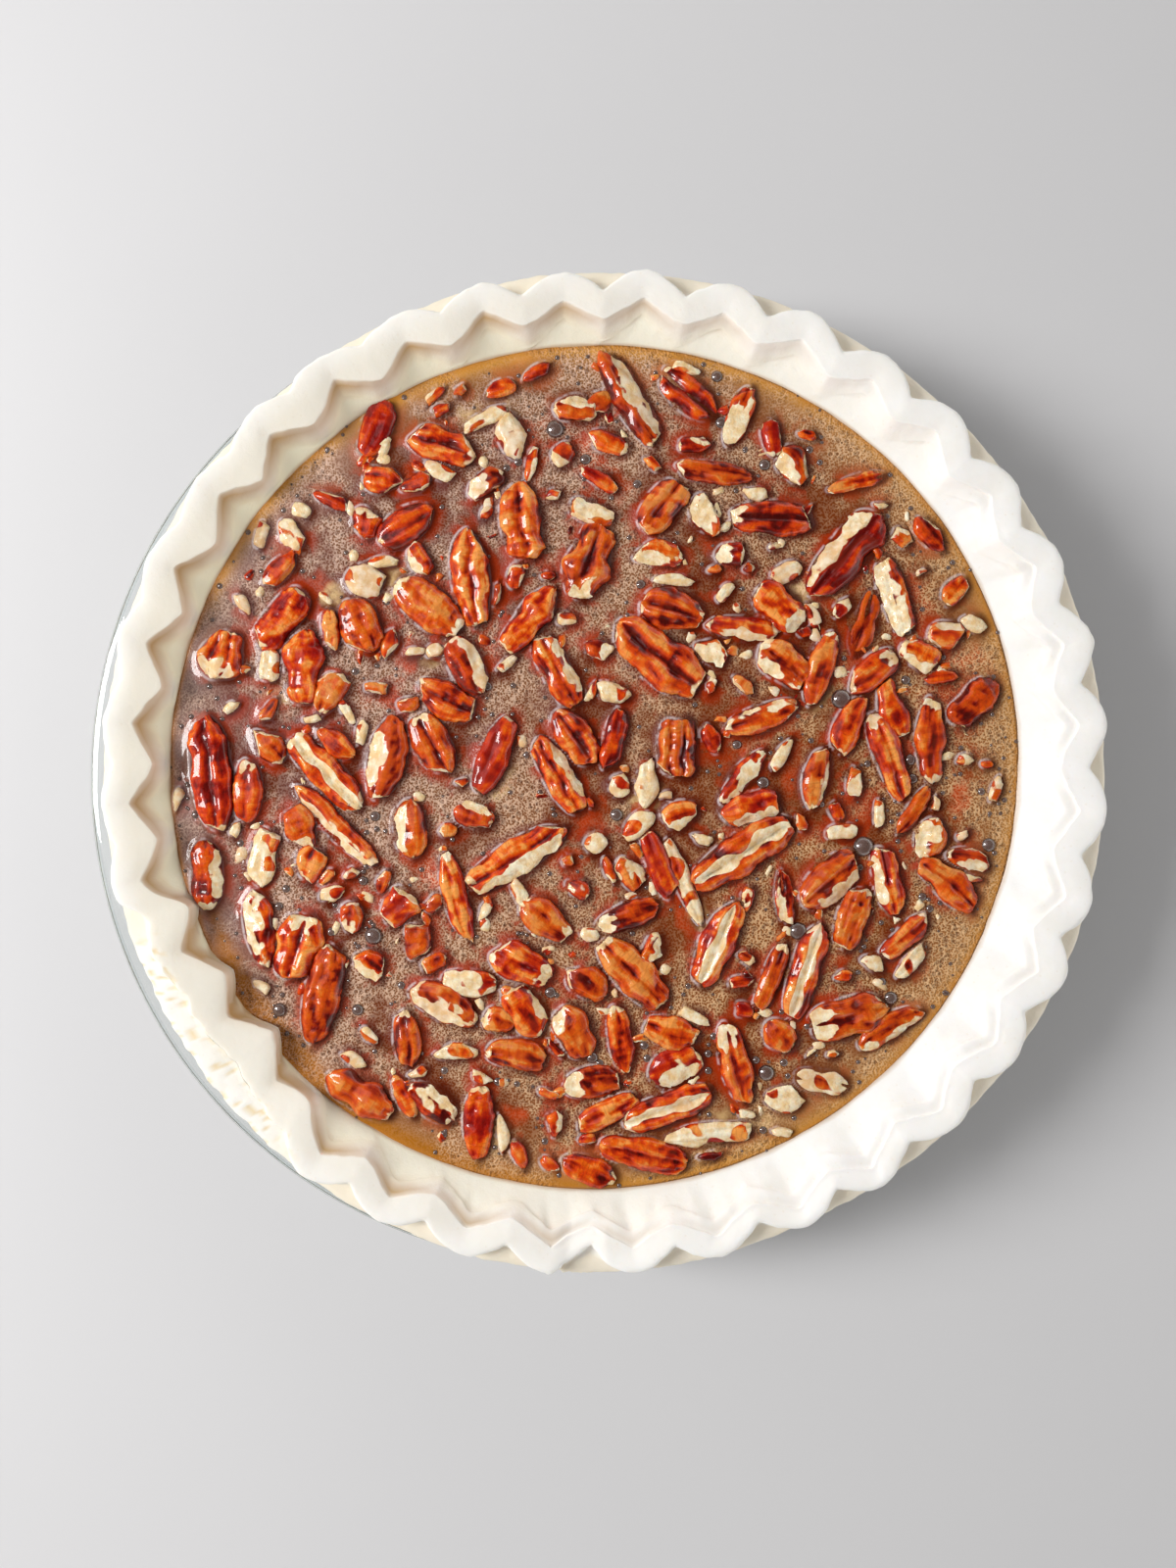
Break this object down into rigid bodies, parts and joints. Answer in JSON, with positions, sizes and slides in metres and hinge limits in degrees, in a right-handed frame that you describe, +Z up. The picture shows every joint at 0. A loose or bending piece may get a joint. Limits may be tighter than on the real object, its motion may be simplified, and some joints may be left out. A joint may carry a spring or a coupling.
{
  "type": "unbaked pecan pie in a glass pie dish",
  "caption": "Unbaked pecan pie in a clear round glass dish: fluted raw pastry rim, syrup filling level with the glass, broken pecan halves floating in it",
  "frame": {"origin": "centre of the flat underside of the glass dish", "axes": "+Z up out of the dish, +X towards the side where the pastry overhangs the glass, +Y to its left; the pie is round, so X only marks that side"},
  "size_m": [0.2532, 0.2484, 0.047],
  "materials": {
    "glass": "clear, plain, glossy pressed glass",
    "dough": "raw shortcrust pastry, pale cream, soft and matte",
    "syrup": "egg and syrup filling, golden brown, glossy, with a fine foam",
    "pecan": "pecan nut wet with syrup, orange-brown skin and cream broken flesh"
  },
  "bodies": {
    "root": {"dish": "glass", "crust": "dough", "pecan_01": "pecan", "pecan_02": "pecan", "pecan_03": "pecan", "pecan_04": "pecan", "pecan_05": "pecan", "pecan_06": "pecan", "pecan_07": "pecan", "pecan_08": "pecan", "pecan_09": "pecan", "pecan_10": "pecan", "pecan_11": "pecan", "pecan_12": "pecan", "pecan_13": "pecan", "pecan_14": "pecan", "pecan_15": "pecan", "pecan_16": "pecan", "pecan_17": "pecan", "pecan_18": "pecan", "pecan_19": "pecan", "pecan_20": "pecan", "pecan_21": "pecan", "pecan_22": "pecan", "pecan_23": "pecan", "pecan_24": "pecan", "pecan_25": "pecan", "pecan_26": "pecan", "pecan_27": "pecan", "pecan_28": "pecan", "pecan_29": "pecan", "pecan_30": "pecan", "pecan_31": "pecan", "pecan_32": "pecan", "pecan_33": "pecan", "pecan_34": "pecan", "pecan_35": "pecan", "pecan_36": "pecan", "pecan_37": "pecan", "pecan_38": "pecan", "pecan_39": "pecan", "pecan_40": "pecan", "pecan_41": "pecan", "pecan_42": "pecan", "pecan_43": "pecan", "pecan_44": "pecan", "pecan_45": "pecan", "pecan_46": "pecan", "pecan_47": "pecan", "pecan_48": "pecan", "pecan_49": "pecan", "pecan_50": "pecan", "pecan_51": "pecan", "pecan_52": "pecan", "pecan_53": "pecan", "pecan_54": "pecan", "pecan_55": "pecan", "pecan_56": "pecan", "pecan_57": "pecan", "filling": "syrup"}
  },
  "joints": []
}
